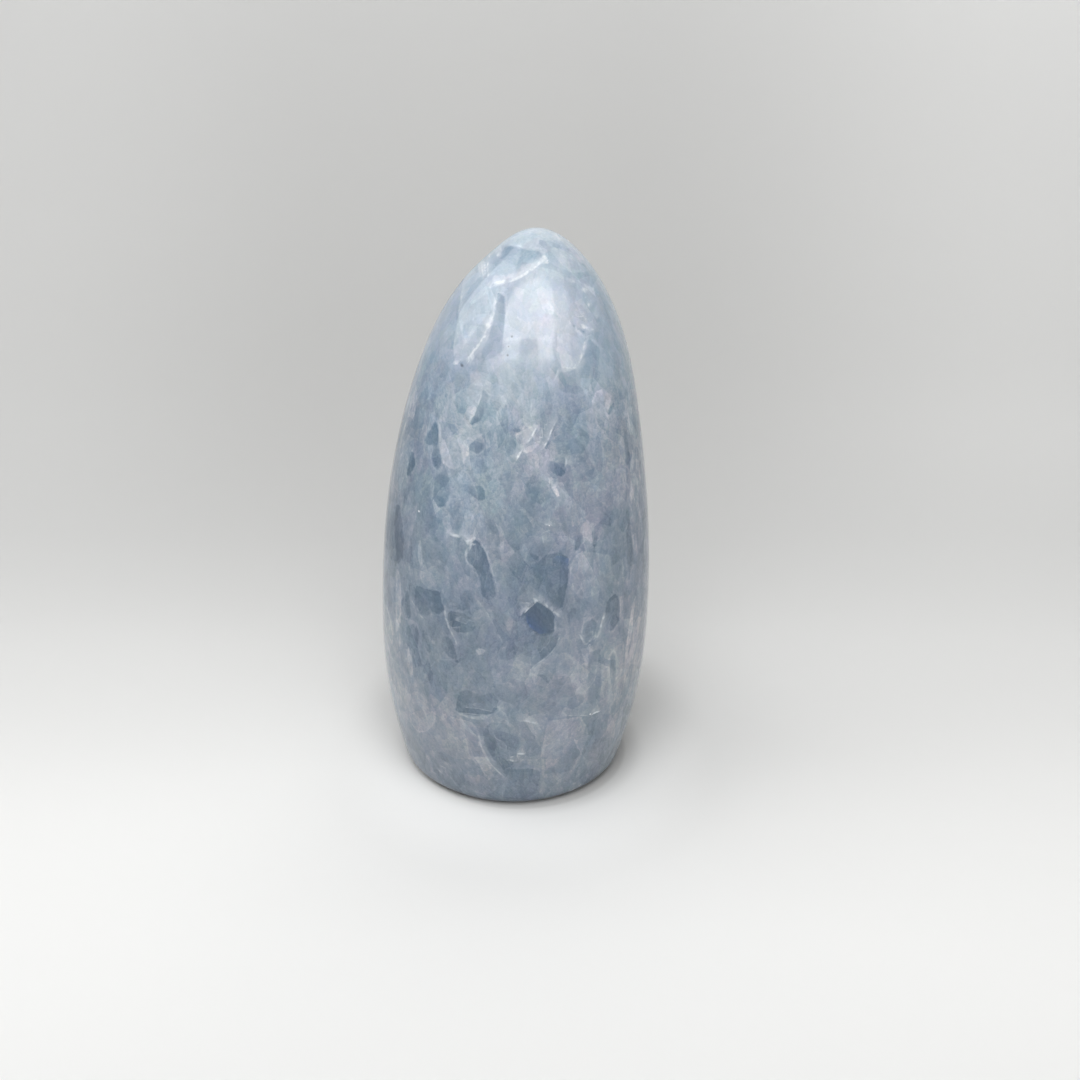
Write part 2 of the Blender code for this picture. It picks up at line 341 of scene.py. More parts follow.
windows = (
    ("cap shade", -0.28, -0.3, 270, (
        (-2.2, 113.2), (-1.4, 115), (0, 115.3), (5, 115), (6, 114.5), (5, 113.2), (2.8, 112.8),
        (0.5, 112.4),
    )),
    ("right tip blue", -0.16, -0.3, 150, (
        (10.6, 113.5), (14, 112), (16.5, 108.8), (15.5, 107.9), (12, 110), (9.5, 110.5), (10.2, 112.3),
    )),
    ("flake blotch", -0.14, 0, 30, (
        (-9.2, 102.2), (-7.6, 103.2), (-6.7, 102.6), (-7.9, 100.6), (-9.2, 100.2),
    )),
    ("blue band", -0.30, 0, 290, (
        (-2.5, 108.3), (-1.2, 107.5), (-1, 104), (-1.3, 101), (-1.6, 98.5), (-3.5, 97), (-5.6, 96.3),
        (-5.4, 98.6), (-4.2, 100.9), (-3.3, 103.5), (-2.8, 106),
    )),
    ("crest shade", -0.26, -0.3, None, (
        (11.3, 103.3), (12.2, 102.5), (13.6, 101.5), (15.4, 100.6), (15.3, 100.2), (13, 101.3),
        (11.3, 102.6),
    )),
    ("beside the flake", -0.22, -0.3, 300, (
        (9, 94.8), (12.1, 95), (13.9, 97.6), (14.6, 100.1), (17, 98), (16.5, 93), (13, 90.5),
        (9, 91.5),
    )),
    ("dark crack", -0.34, 0, None, (
        (13.2, 93.5), (13.7, 93.6), (14.3, 91.9), (15.1, 90.8), (14.8, 90.4), (13.8, 91.8),
    )),
    ("wedge", -0.50, 0, 60, (
        (-5.2, 91.8), (-3.9, 90.6), (-4.6, 88.4), (-5.6, 86), (-7.8, 84.9), (-7, 87.5), (-6, 90),
    )),
    ("beside the wedge", -0.10, -0.6, 0, (
        (-4.4, 90.6), (-1.6, 90.5), (-1, 88), (-1.8, 85.8), (-5.8, 85.8), (-5.2, 88),
    )),
    ("green blot", -0.20, -0.8, None, ((18.4, 85.5), (18.2, 86.6), (19.8, 88), (19.6, 86.2))),
    ("right teal", -0.16, -0.9, 70, (
        (10, 85.6), (12.5, 88), (14.8, 86.6), (15, 82), (14, 80), (11, 79.6), (8.6, 80.6), (8, 84),
    )),
    ("beside the lobe", -0.50, -0.4, 200, (
        (-14.6, 85.2), (-13.9, 83), (-14, 80.5), (-15, 80), (-17.2, 80.2), (-16.5, 81.6),
        (-15.3, 83.5),
    )),
    ("below the lobe", -0.40, 0.3, 170, (
        (-15.2, 79.8), (-13.6, 80), (-13.3, 78), (-13.7, 76.2), (-15, 76.3), (-15.6, 78),
    )),
    ("teal sliver", -0.46, -0.6, None, (
        (-19.3, 78.4), (-18.8, 76), (-20, 73), (-20.9, 72.7), (-20.5, 75), (-19.9, 77.4),
    )),
    ("pear", -0.42, 0, 60, (
        (-4.9, 83.9), (-4.6, 82), (-5.4, 80.6), (-6.4, 79.9), (-8, 80.3), (-7.9, 81.5), (-6.6, 82.7),
    )),
    ("pear shade", -0.16, 0, 180, ((-5.1, 79.2), (-5, 77.2), (-6.6, 76.9), (-7.1, 78.5), (-6, 79.2))),
    ("lit slit", -0.30, 0, None, ((0.1, 84.9), (2.3, 85.2), (1.6, 84.2), (0.3, 84.1))),
    ("boat", -0.36, -0.4, 150, (
        (6.6, 78.8), (7.4, 77), (9, 75.9), (10.5, 75.8), (10.3, 77.1), (8.8, 78.3), (7.5, 79.1),
    )),
    ("oval", -0.42, -0.3, 180, (
        (-9.5, 74.4), (-9, 72.8), (-7.5, 72.2), (-6.3, 71.3), (-4.9, 71.5), (-4.9, 73.4), (-6, 74.4),
        (-7.4, 74),
    )),
    ("left blue", -0.40, -0.3, 60, (
        (-14.6, 75.5), (-12, 75.3), (-11.7, 72), (-12.6, 69.6), (-14.2, 68.9), (-15.3, 70.5),
        (-15, 73),
    )),
    ("lower blue", -0.20, -0.6, 180, (
        (-15.8, 67.8), (-13.4, 66.6), (-12.9, 64.4), (-13.4, 62.3), (-15.6, 62), (-16.4, 65),
    )),
    ("middle blue", -0.20, 0.1, 240, (
        (2.8, 74.6), (4.2, 76.8), (5.8, 75.2), (5.4, 73), (4.4, 70.5), (3.6, 66.8), (2, 67.6),
        (2.2, 72),
    )),
    ("slate field", -0.10, 0.8, 200, (
        (9, 71.2), (14, 72.4), (18, 72), (20, 70.6), (19.4, 64.6), (14, 63.2), (8, 64.2), (7.8, 68),
    )),
    ("right stripe", -0.20, 0.2, None, (
        (21.6, 84), (22.5, 84.4), (23.3, 76), (23.5, 69.5), (22.5, 68.8), (22.2, 76),
    )),
    ("first sliver", -0.42, 0.4, 60, (
        (12.2, 63.8), (13.4, 65.6), (13.7, 63), (13, 60.9), (12.2, 60.9),
    )),
    ("second sliver", -0.42, 0.4, 90, ((15.6, 63.8), (16.8, 63.4), (16.6, 60.9), (15.8, 61))),
    ("third sliver", -0.46, 0, 90, (
        (18.9, 66.9), (19.9, 68.6), (20, 65.5), (19.2, 64.2), (18.6, 65.4),
    )),
    ("fourth sliver", -0.24, -0.6, 90, ((20.5, 68), (23, 69), (23.4, 64), (22, 62), (20.6, 64))),
    ("long", -0.62, -0.4, 260, (
        (-7.6, 63.9), (-6.3, 63.6), (-5, 61.5), (-4.2, 58.5), (-3.3, 54.5), (-3, 52.4), (-4.5, 51.3),
        (-6, 52.4), (-6.2, 55.5), (-7.1, 58), (-8.5, 59.1), (-8.8, 61), (-7.8, 62),
    )),
    ("under the plate", -0.46, -0.3, 240, (
        (-19.3, 52.3), (-17, 52), (-14.2, 52.2), (-14, 50), (-13.2, 48.6), (-14.6, 47.2), (-16, 47.5),
        (-17, 46), (-19.6, 46), (-19.8, 49),
    )),
    ("hatched", -0.52, -0.3, 0, (
        (-13, 47.6), (-12, 48.7), (-9.5, 48.4), (-7.3, 47), (-7.2, 45), (-9.5, 43.9), (-11.6, 44.2),
        (-12.7, 45.5),
    )),
    ("tall", -0.38, 0.2, 180, (
        (-14.3, 42.5), (-13.2, 42.9), (-12, 42), (-11.5, 40.5), (-11.2, 38.4), (-10.5, 36.9),
        (-11.6, 37.3), (-13, 38.3), (-14.4, 40),
    )),
    ("left shade", -0.26, -0.6, 250, ((-22, 42), (-20, 43.4), (-19.3, 39), (-20.4, 35.8), (-22, 38))),
    ("left crack", -0.30, -0.2, 150, (
        (-18.2, 43), (-17.4, 43), (-16.6, 39.8), (-16.4, 37.4), (-17.4, 38), (-18.4, 41),
    )),
    ("low left shade", -0.20, -0.4, None, ((-18.6, 34.6), (-17, 35.2), (-16.7, 32.6), (-18.6, 32.4))),
    ("blue field", -0.46, -0.4, 180, (
        (4.8, 59.2), (6.6, 60.9), (9, 61.2), (11.2, 60), (11, 55), (10.4, 51.5), (9.9, 49.2),
        (8.4, 49.4), (7, 51.6), (6, 53.6), (4.8, 56), (4, 57.4),
    )),
    ("upper field stroke", -0.30, -0.5, 200, (
        (2.2, 60.9), (3.6, 61.3), (5.4, 60.7), (5.0, 59.8), (3.4, 59.9),
    )),
    ("lower field stroke", -0.26, -0.5, 200, (
        (2.6, 59.2), (4.2, 59.5), (6.0, 58.6), (5.6, 57.4), (3.6, 58.1),
    )),
    ("field tail", -0.24, -0.4, 200, (
        (4.6, 54.8), (6.2, 55.6), (7.6, 53.2), (8.6, 49.6), (7.2, 50.4), (5.8, 52.4),
    )),
    ("left flank streak", -0.34, 0.1, None, (
        (-19.8, 44), (-18.9, 42), (-19.4, 38), (-18.5, 34), (-19.6, 33.5), (-20.5, 37.5), (-20.2, 41),
    )),
    ("low left flank streak", -0.30, 0.1, None, (
        (-17.7, 36.5), (-16.9, 36), (-16.2, 32), (-16.6, 29), (-17.5, 31.5),
    )),
    ("upper left flank streak", -0.34, 0.6, None, (
        (-23.6, 66), (-22.4, 66.5), (-21.6, 61), (-22, 56.5), (-23.4, 54), (-24, 60),
    )),
    ("small flank streak", -0.24, 0.2, None, ((-20.6, 60), (-19.9, 60), (-19.6, 56), (-20.4, 54))),
    ("middle flank streak", -0.30, -0.2, None, (
        (-21.8, 50), (-20.9, 50), (-20.5, 45), (-21.4, 43), (-22, 46),
    )),
    ("right flank streak", -0.26, 0.1, None, (
        (22.6, 63), (23.6, 64), (24.2, 57), (23.6, 50), (22.9, 56),
    )),
    ("low right flank streak", -0.30, 0.0, None, (
        (19.8, 36), (20.8, 37), (21.4, 31), (20.6, 27), (19.9, 31),
    )),
    ("sapphire", -0.70, -0.2, None, (
        (2.0, 49.2), (3.0, 49.7), (3.6, 51.1), (5.3, 51.4), (7, 50.3), (8.4, 48.2), (8.3, 44.0),
        (5.3, 44.0), (3.9, 45.2), (2.9, 46.1), (2.7, 47.4), (1.9, 48.2),
    )),
    ("sapphire halo", -0.16, -0.9, 180, (
        (0.8, 48), (2.3, 48.6), (3.3, 47), (3.7, 44.6), (1.5, 43.4), (0.4, 45.5),
    )),
    ("under sapphire", -0.22, 0.2, 160, (
        (0.3, 43.8), (3.7, 43.9), (8.3, 43.6), (9.6, 44.8), (8.9, 41.6), (7.5, 39.6), (5.4, 38),
        (4.3, 37.2), (1.8, 38.2), (-0.4, 40.6),
    )),
    ("small blue", -0.20, 0.4, 200, ((10.5, 48.9), (12.6, 49.4), (12.7, 47.2), (11.2, 46.5))),
    ("right window", -0.52, 0.1, 200, (
        (18.4, 46.5), (18.9, 49.2), (20.6, 50), (21.7, 48.2), (21.7, 43.5), (20.2, 41.6), (18.7, 42.8),
    )),
    ("right flank", -0.24, 0, 90, ((22, 49.8), (23.2, 50.2), (23.7, 44), (22.6, 42.8))),
    ("notch", -0.24, -0.5, None, (
        (14.3, 45.5), (16, 46), (17, 44.8), (16.6, 42.5), (15, 40.6), (14.5, 41), (13.8, 43),
    )),
    ("plate blue", -0.18, 0.4, 180, ((10, 37.6), (12, 38.1), (12.2, 35.4), (10.2, 35.2))),
    ("low band", -0.26, -0.1, 270, (
        (15.3, 38.6), (17.8, 38.6), (18.1, 33), (18.2, 29.6), (17.8, 26.4), (16, 25.4), (15.2, 27),
        (15.2, 33),
    )),
    ("low right", -0.30, 0.4, 90, (
        (11, 28), (13, 29), (14.7, 28.6), (14.3, 26.2), (12, 25.2), (11, 26),
    )),
    ("edge shade", -0.18, -0.3, 300, (
        (16.2, 21.6), (18.6, 20.2), (19.2, 14), (17.2, 11), (15.2, 13.6), (16.4, 17.2),
    )),
    ("low", -0.40, -0.3, None, (
        (-12, 25), (-11.6, 27.6), (-8, 28.6), (-3.6, 27.6), (-2.9, 26.4), (-5.4, 25), (-8.5, 24.5),
    )),
    ("over the low one", -0.38, -0.2, 80, (
        (-11.8, 27), (-11.2, 30), (-9.4, 31.2), (-6.5, 30), (-4.2, 31), (-2.8, 28.9), (-3.4, 27.2),
        (-8, 28.3),
    )),
    ("low grey", -0.16, 0.2, 0, ((-12.2, 24), (-10.6, 23), (-9.8, 20.8), (-11, 20.8), (-12.4, 22.4))),
    ("beside the arc", -0.26, -0.2, 0, (
        (-6.5, 20.5), (-5, 23), (-2, 23.4), (0.5, 21.5), (1.5, 18), (0.6, 14), (-0.5, 11.4),
        (-2.6, 11.2), (-4.6, 13.6), (-6, 17),
    )),
    ("lavender fleck", -0.22, 0.9, 200, (
        (-17.6, 11), (-15.6, 12.5), (-14, 11), (-14.4, 9.4), (-16, 10.3),
    )),
    ("low teal", -0.26, -0.8, 270, ((-2.7, 10.6), (3, 10.9), (5.6, 10), (5.2, 8), (0, 8.4), (-2, 9.2))),
    ("base", -0.20, 0.5, 90, ((-1.2, 8.5), (5.6, 9), (5.6, 4), (2, 2), (-2.6, 2.4))),
)

# veins: half width, strength, corners
veins = (
    (0.35, 0.9, ((-3.4, 109.2), (-2, 109.7), (-0.8, 109.9))),
    (0.22, 0.9, ((-0.8, 109.9), (1, 110.4), (3, 111.5), (5, 112.8), (6.4, 113.6), (7.2, 114.4))),
    (0.24, 0.8, ((-4.2, 108.7), (-3.5, 109.2))),
    (0.26, 0.7, ((-2.9, 113.4), (-2.1, 114.7))),
    (0.24, 0.9, ((-4.6, 112.2), (-4.4, 110.2))),
    (0.16, 0.7, ((-5.9, 111.6), (-5.4, 110.2))),
    (0.14, 0.6, ((-2.8, 107), (-3.2, 104.5), (-3.8, 102.8))),
    (0.16, 0.5, ((-9.4, 108.5), (-9.7, 106), (-10.3, 102), (-10.9, 98.5), (-10.8, 96.5))),
    # a painted glint of light on the left flake
    (0.45, 1.0, ((-4.5, 102.2), (-3.9, 103.6))),
    (0.22, 0.9, ((-4.4, 101.6), (-5.2, 100.3), (-6.5, 98.6), (-7.6, 97.2), (-8.6, 96))),
    (0.25, 0.5, ((-7, 97.4), (-7.9, 95.4))),
    (0.24, 1.0, ((13.4, 97.4), (12.7, 96.1), (11.8, 95.2))),
    (0.16, 0.8, ((14.1, 99.8), (13.4, 97.4))),
    (0.16, 0.7, ((11.8, 95.2), (10.6, 95.4), (9.4, 95.6))),
    (0.26, 0.5, ((13.2, 102.3), (14.6, 101.6), (15.7, 101.1))),
    # these four short ones are painted glints of light
    (0.20, 0.5, ((11, 110), (12.2, 109.5))),
    (0.26, 0.9, ((13.5, 108.4), (14.6, 107.5))),
    (0.30, 0.8, ((14.7, 105.7), (15.1, 105.2))),
    (0.26, 0.7, ((15.5, 104.4), (16.6, 103))),
    (0.22, 0.6, ((9, 95.4), (8.6, 94), (8.1, 93.2))),
    (0.16, 0.6, ((-5.3, 91.2), (-6.3, 88.8), (-7.3, 86.4))),
    (0.16, 0.4, ((3.9, 89.4), (3.8, 88), (3.3, 87.7))),
    (0.20, 1.0, ((1, 79.3), (2.1, 81.3))),
    (0.16, 0.9, ((3.1, 82.4), (4.1, 83.8), (5, 85.6))),
    (0.16, 0.8, ((5.8, 81), (6.9, 82.6), (7.7, 84.8), (8.8, 86.8))),
    (0.20, 0.6, ((10.3, 80), (10.6, 78.5), (10.2, 77.6))),
    (0.14, 0.3, ((-13.9, 85.8), (-13.9, 80.5), (-13.2, 77.3))),
    (0.16, 0.4, ((-7.6, 80.4), (-6.3, 79.9), (-5.2, 80.6))),
    (0.16, 0.6, ((6.2, 67), (7.8, 66.7))),
    (0.28, 0.7, ((-12.5, 64.7), (-11, 64.1), (-9.5, 64.2), (-8.2, 63), (-7.4, 63.8), (-7, 65))),
    (0.20, 0.4, ((-8, 62.8), (-9, 61), (-8.8, 59))),
    (0.15, 0.3, ((-6, 63.4), (-4.7, 61.2), (-3.9, 58), (-2.8, 54.4), (-2.6, 52.4))),
    (0.16, 0.4, ((13.8, 65.4), (14.1, 62.5), (14.6, 60.3))),
    (0.14, 0.4, ((5.8, 65), (6.3, 63))),
    (0.18, 0.4, ((-13.4, 50), (-13.3, 47), (-12.6, 44.6), (-11.7, 43.1), (-11.2, 42), (-11.2, 40.6))),
    (0.10, 0.3, ((-11.5, 48), (-9.5, 47.4), (-7, 46.6))),
    (0.10, 0.3, ((-11.8, 46.8), (-9.5, 46.3), (-7.2, 45.6))),
    (0.14, 0.7, ((2.2, 48.8), (3.5, 50.1), (4.7, 51.2))),
    (0.24, 0.6, ((4, 52), (6, 50.9), (8, 49.1), (9.6, 47.6))),
    (0.16, 0.35, ((9.8, 44.6), (8.9, 41.3), (7.2, 39.2), (4.7, 37.3), (3.5, 36.2), (3.6, 34))),
    (0.24, 0.6, ((18.5, 46.6), (17.7, 43.2), (17, 41.2))),
    (0.16, 0.4, ((13.4, 43.2), (14.6, 40.4), (15.5, 41.2), (16.6, 41.2))),
    (0.22, 0.4, ((-12, 24.9), (-9, 24), (-5.4, 24.2))),
    (0.10, 0.35, ((-10.5, 26.6), (-7, 26.7), (-4, 26.1))),
    (0.10, 0.30, ((-9, 27.8), (-6, 27.8), (-3, 27.2))),
    (0.20, 0.35, ((-7.3, 20.5), (-6.9, 17), (-6.1, 14.5), (-4.9, 12), (-3.4, 10), (-1.5, 8))),
    (0.24, 0.5, ((0.8, 24), (3, 23.8), (4.8, 22.8))),
    (0.24, 0.6, ((0.6, 15.1), (2.3, 15))),
    (0.22, 0.6, ((-1.1, 13.4), (0.2, 13))),
    (0.14, 0.35, ((10.2, 24.2), (13.5, 23.4), (15.6, 22.6))),
    (0.16, 0.8, ((16.2, 22.5), (17, 22.9), (17.9, 22.6))),
    (0.24, 0.6, ((-16.8, 6.7), (-15.8, 5.7))),
    (0.22, 0.5, ((11.6, 1.6), (13, 1.9), (14.6, 2.7))),
)

# broad soft changes of the body: name, across, up, reach across, reach up, lighter or darker, hue, streaks
zones = (
    ("left flank shade", -24, 58, 4, 9, -0.30, 0.9, 1.0),
    ("left shoulder", -23, 74, 6, 12, -0.20, 0.5, 0.8),
    ("upper left edge", -24, 92, 7, 10, -0.30, 0.5, 0.6),
    ("low left edge", -27, 32, 4, 16, 0.22, 0.0, 0.9),
    ("right flank", 24, 66, 5, 24, -0.05, 0.4, 1.0),
    ("low right edge", 24, 32, 5, 13, 0.30, 0.4, 0.9),
    ("left middle", -14, 40, 7, 10, -0.10, 0.1, 0.5),
    ("dark middle", -2, 54, 14, 11, -0.24, 0.0, 0.0),
    ("teal middle", -6, 77, 9, 9, 0.05, -0.8, 0.0),
    ("slate right", 12, 66, 8, 9, 0.02, 0.6, 0.0),
    ("low right lavender", 12, 16, 9, 14, 0.03, 0.3, 0.0),
    ("low left lavender", -12, 14, 9, 12, 0.03, 0.6, 0.0),
    ("right shoulder", 18, 98, 5, 9, -0.12, -0.3, 0.0),
    ("round the left flake", -9, 104, 6, 9, -0.27, 0.0, 0.0),
    ("under the cap", -3, 114, 7, 5, -0.12, 0.0, 0.0),
    ("right of the wedge", -3, 89, 4, 4, 0.16, 0.0, 0.0),
    ("left of the blue field", 3.5, 57, 4, 4.5, -0.14, -0.3, 0.0),
    ("round the pear", -8, 81, 4, 12, 0.06, 0.0, 0.0),
    ("right of the cap", 16, 118, 8, 4, -0.10, 0.0, 0.0),
    ("over the wedge", -6, 92, 5, 5, 0.12, 0.0, 0.0),
    ("under the highlight", 7, 92, 9, 6, -0.12, -0.3, 0.0),
    # painted tint of the highlight: the body under the window's reflection turns lavender
    ("painted highlight tint", 2, 102, 12, 14, 0.0, 0.9, 0.0),
    ("on the lobe", -10.5, 86, 5, 9, -0.17, -0.3, 0.0),
    ("left of the lobe", -15, 93, 4, 6, -0.12, 0.0, 0.0),
    ("over the slate field", 13, 77, 5, 6, 0.17, 0.0, 0.0),
    ("right of the low band", 21, 31, 3, 5, 0.18, 0.0, 0.0),
    ("on the low left light", -23, 24, 3.5, 5, 0.14, 0.0, 0.0),
    ("left flank core", -23, 60, 3, 5, -0.26, 0.0, 0.0),
    ("round the left glint", -18.5, 67, 3, 4, -0.20, 0.0, 0.0),
    ("left of the fold", -10, 62, 4, 8, 0.14, 0.0, 0.0),
    ("right of the long one", -1.4, 60, 3, 4, 0.13, 0.0, 0.0),
    ("right of the sapphire", 11.7, 41, 3.5, 13, 0.13, 0.0, 0.0),
    ("left streaks", -19, 38, 2.5, 5, -0.18, 0.0, 0.0),
    ("left rim", -24, 38, 2.0, 5, 0.10, 0.0, 0.0),
    ("on the wedge", -6, 91, 3, 5, -0.17, 0.0, 0.0),
    ("right of the oval", -4, 77, 4, 6, 0.11, 0.0, 0.0),
    # painted highlight: lighter where the window's reflection fades out below
    ("foot of the highlight", -1, 94, 4, 4, 0.10, 0.0, 0.0),
    ("foot of the left flake", -10, 100, 3, 3, 0.10, 0.0, 0.0),
    ("foot of the right flake", 13, 92, 4, 4, 0.10, 0.0, 0.0),
    ("low plate's right", 13, 33, 3, 5, 0.08, 0.0, 0.0),
    ("left flank's right", -22, 60, 3, 4, -0.08, 0.0, 0.0),
    ("left of the cap", -5, 113, 3, 3, -0.12, 0.0, 0.0),
    ("upper right edge", 25, 82, 3, 8, -0.12, 0.0, 0.0),
    ("left shoulder edge", -24, 77, 3, 5, -0.10, 0.0, 0.0),
    ("left of the slate field", 6, 69, 5, 5, -0.11, 0.0, 0.0),
    # painted highlight: lighter at the right edge of the window's reflection
    ("right of the highlight", 8, 103, 4, 6, 0.08, 0.0, 0.0),
)

# The same kinds of marking are scattered over the sides and the back, and fainter on the front
scatter = {
    "seed": 11,
    "slant": 30,  # most lie within so many degrees of upright
    "frontShare": 0.4,  # strength of those that fall on the front
    "clear": 0.9,  # how far they stay away from the placed ones there, in millimetres
    "shards": {"count": 170, "size": (1.5, 6.5), "change": (0.05, 0.32)},
    "windows": {"count": 170, "size": (0.9, 4.0), "change": (-0.45, -0.1)},
    "patch": {
        "narrow": (0.35, 0.8),  # width against height
        "corners": (5, 9),
        "turn": 0.35,  # how unevenly the corners stand round the middle
        "reach": (0.5, 1.1),  # how far out they are, against the size
        "hue": 0.8,
    },
    "veins": {
        "count": 70,
        "frontCount": 130,
        "frontSeed": 5,
        "length": (3.0, 12.0),
        "bend": 0.15,  # sideways, against the length
        "steps": (3, 6),
        "width": (0.12, 0.25),
        "strength": (0.2, 0.7),
    },
    "zones": {
        "count": 26,
        "reach": (7, 14),
        "taller": 1.4,
        "behind": (2.0, 0.4),  # how quickly they come in round the sides
        "change": (-0.16, 0.12),
        "hue": (-0.9, 0.9),
        "streaks": (0, 0.8),
    },
}

# limits on the way the surface looks: how far backwards, from -1 to 1
looks = {
    "placed": 0.25,  # placed patches and veins reach round to here
    "zone": 0.3,
    "front": -0.2,  # a scattered marking that looks less far back than this is on the front
    "level": 0.98,  # and how far up or down: the very tip and the base get no scattered ones
    "sameWay": 0.1,  # a scattered marking covers only what looks its own way
}

far = 9.0  # a distance in millimetres at which a marking no longer counts
margin = 3.0  # looked at round the corners of a placed marking
patchFade = (0.66, 0.34)  # strength at the middle of a patch that thins out, and its change to the ends
veinEnds = (0.15, 8)  # a vein's strength at its ends, and how quickly it rises along it
veinReach = 2.5  # a vein's glow ends within this many millimetres


def besideSegments(place, corners, closed):
    # distance to a line of corners, on which side of it, and how far along it the nearest place is
    ends = np.roll(corners, -1, axis=0) if closed else corners[1:]
    starts = corners if closed else corners[:-1]
    nearest = np.full(len(place), 1e9)
    side = np.ones(len(place))
    along = np.zeros(len(place))
    lengths = np.hypot(*(ends - starts).T)
    run = 0.0
    for start, end, length in zip(starts, ends, lengths):
        step = (end - start) / length
        away = place - start
        travel = np.clip(away @ step, 0, length)
        gap = np.hypot(away[:, 0] - travel * step[0], away[:, 1] - travel * step[1])
        closer = gap < nearest
        nearest[closer] = gap[closer]
        side[closer] = np.sign(step[0] * away[closer, 1] - step[1] * away[closer, 0])
        along[closer] = (run + travel[closer]) / lengths.sum()
        run += length
    side[side == 0] = 1
    return nearest, side, along


def insideOutline(place, corners):
    inside = np.zeros(len(place), bool)
    for (x0, y0), (x1, y1) in zip(corners, np.roll(corners, -1, axis=0)):
        if y0 == y1:
            continue
        crosses = (y0 > place[:, 1]) != (y1 > place[:, 1])
        inside ^= crosses & (place[:, 0] < (x1 - x0) * (place[:, 1] - y0) / (y1 - y0) + x0)
    return inside


def newLayer():
    # for each point of the mesh: depth inside the nearest patch, its lightness and its hue
    layer = np.zeros((len(points), 3))
    layer[:, 0] = -far
    return layer


def paintPatch(layer, chosen, place, change, hue, fade, corners):
    corners = np.array(corners, float)
    if len(chosen) == 0:
        return
    gap, _, _ = besideSegments(place, corners, closed=True)
    depth = np.where(insideOutline(place, corners), gap, -gap)
    power = np.ones(len(place))
    if fade is not None:
        way = np.array((math.cos(math.radians(fade)), math.sin(math.radians(fade))))
        middle = corners.mean(axis=0)
        reach = np.abs((corners - middle) @ way).max()
        power = patchFade[0] - patchFade[1] * np.clip((place - middle) @ way / reach, -1, 1)
    wins = depth > layer[chosen, 0]
    layer[chosen[wins]] = np.stack((depth[wins], change * power[wins], hue * power[wins]), axis=1)


def paintVein(layer, chosen, place, width, strength, corners):
    corners = np.array(corners, float)
    gap, side, along = besideSegments(place, corners, closed=False)
    ends = np.clip(np.minimum(along, 1 - along) * veinEnds[1] + veinEnds[0], 0, 1)
    ends *= np.clip(veinReach - gap, 0, 1)
    wins = gap < np.abs(layer[chosen, 0])
    values = np.stack((gap * side, strength * ends, np.full(len(place), width)), axis=1)
    layer[chosen[wins]] = values[wins]


def frontPlaces(corners):
    # the mesh points that face the front around some corners, and their places
    corners = np.array(corners, float)
    low = corners.min(axis=0) - margin
    high = corners.max(axis=0) + margin
    place = points[:, (0, 2)]
    near = np.all((place > low) & (place < high), axis=1) & (normals[:, 1] < looks["placed"])
    chosen = np.flatnonzero(near)
    return chosen, place[chosen]


def roundPlaces(centre, outward, size, slant):
    # the mesh points around a place on the side, and their places as seen from straight outside
    upward = np.array((0.0, 0.0, 1.0)) - outward * outward[2]
    upward /= np.linalg.norm(upward)
    across = np.cross(upward, outward)
    turned = math.radians(slant)
    first = across * math.cos(turned) + upward * math.sin(turned)
    second = upward * math.cos(turned) - across * math.sin(turned)
    offset = points - centre
    near = np.einsum("ij,ij->i", offset, offset) < (size + margin + 1) ** 2
    chosen = np.flatnonzero(near & (normals @ outward > looks["sameWay"]))
    return chosen, np.stack((offset[chosen] @ first, offset[chosen] @ second), axis=1)


def scatterPatches(layer, kind, rng):
    patch = scatter["patch"]
    least, most = kind["size"]
    free = layer[:, 0] < -scatter["clear"]
    for _ in range(kind["count"]):
        home = rng.integers(len(points))
        outward = normals[home]
        size = least + (most - least) * rng.uniform() ** 2
        narrow = rng.uniform(*patch["narrow"])
        corners = []
        cornerCount = rng.integers(*patch["corners"])
        for k in range(cornerCount):
            angle = (k + rng.uniform(-patch["turn"], patch["turn"])) / cornerCount * math.tau
            reach = size * rng.uniform(*patch["reach"])
            corners.append((reach * math.cos(angle) * narrow, reach * math.sin(angle)))
        change = rng.uniform(*kind["change"])
        hue = rng.uniform(-patch["hue"], patch["hue"])
        fade = rng.uniform(0, 360)
        slant = rng.normal(0, scatter["slant"])
        if abs(outward[2]) > looks["level"]:
            continue
        if outward[1] < looks["front"]:
            change *= scatter["frontShare"]
        chosen, place = roundPlaces(points[home], outward, size, slant)
        paintPatch(layer, chosen[free[chosen]], place[free[chosen]], change, hue, fade, corners)


def scatterVeins(layer, count, rng, front=False):
    vein = scatter["veins"]
    free = np.abs(layer[:, 0]) > scatter["clear"] * 2
    for _ in range(count):
        home = rng.integers(len(points))
        outward = normals[home]
        length = rng.uniform(*vein["length"])
        steps = rng.integers(*vein["steps"])
        corners = [
            (rng.uniform(-vein["bend"], vein["bend"]) * length, (k / steps - 0.5) * length)
            for k in range(steps + 1)
        ]
        width = rng.uniform(*vein["width"])
        strength = rng.uniform(*vein["strength"])
        slant = rng.normal(0, scatter["slant"] * 1.5)
        if (outward[1] < looks["front"]) != front or abs(outward[2]) > looks["level"]:
            continue
        if front:
            strength *= scatter["frontShare"]
        chosen, place = roundPlaces(points[home], outward, length / 2, slant)
        paintVein(layer, chosen[free[chosen]], place[free[chosen]], width, strength, corners)


def paintZones(rng):
    layer = np.zeros((len(points), 3))
    for name, across, up, wide, tall, *amounts in zones:
        away = ((points[:, 0] - across) / wide) ** 2 + ((points[:, 2] - up) / tall) ** 2
        layer += np.exp(-away)[:, None] * np.array(amounts) * (normals[:, 1:2] < looks["zone"])
    kind = scatter["zones"]
    steep, start = kind["behind"]
    behind = np.clip(normals[:, 1:2] * steep + start, 0, 1)
    for _ in range(kind["count"]):
        home = points[rng.integers(len(points))]
        reach = rng.uniform(*kind["reach"])
        amounts = np.array([rng.uniform(*kind[amount]) for amount in ("change", "hue", "streaks")])
        away = (((points - home) / (reach, reach, reach * kind["taller"])) ** 2).sum(axis=1)
        layer += np.exp(-away)[:, None] * amounts * behind
    return layer


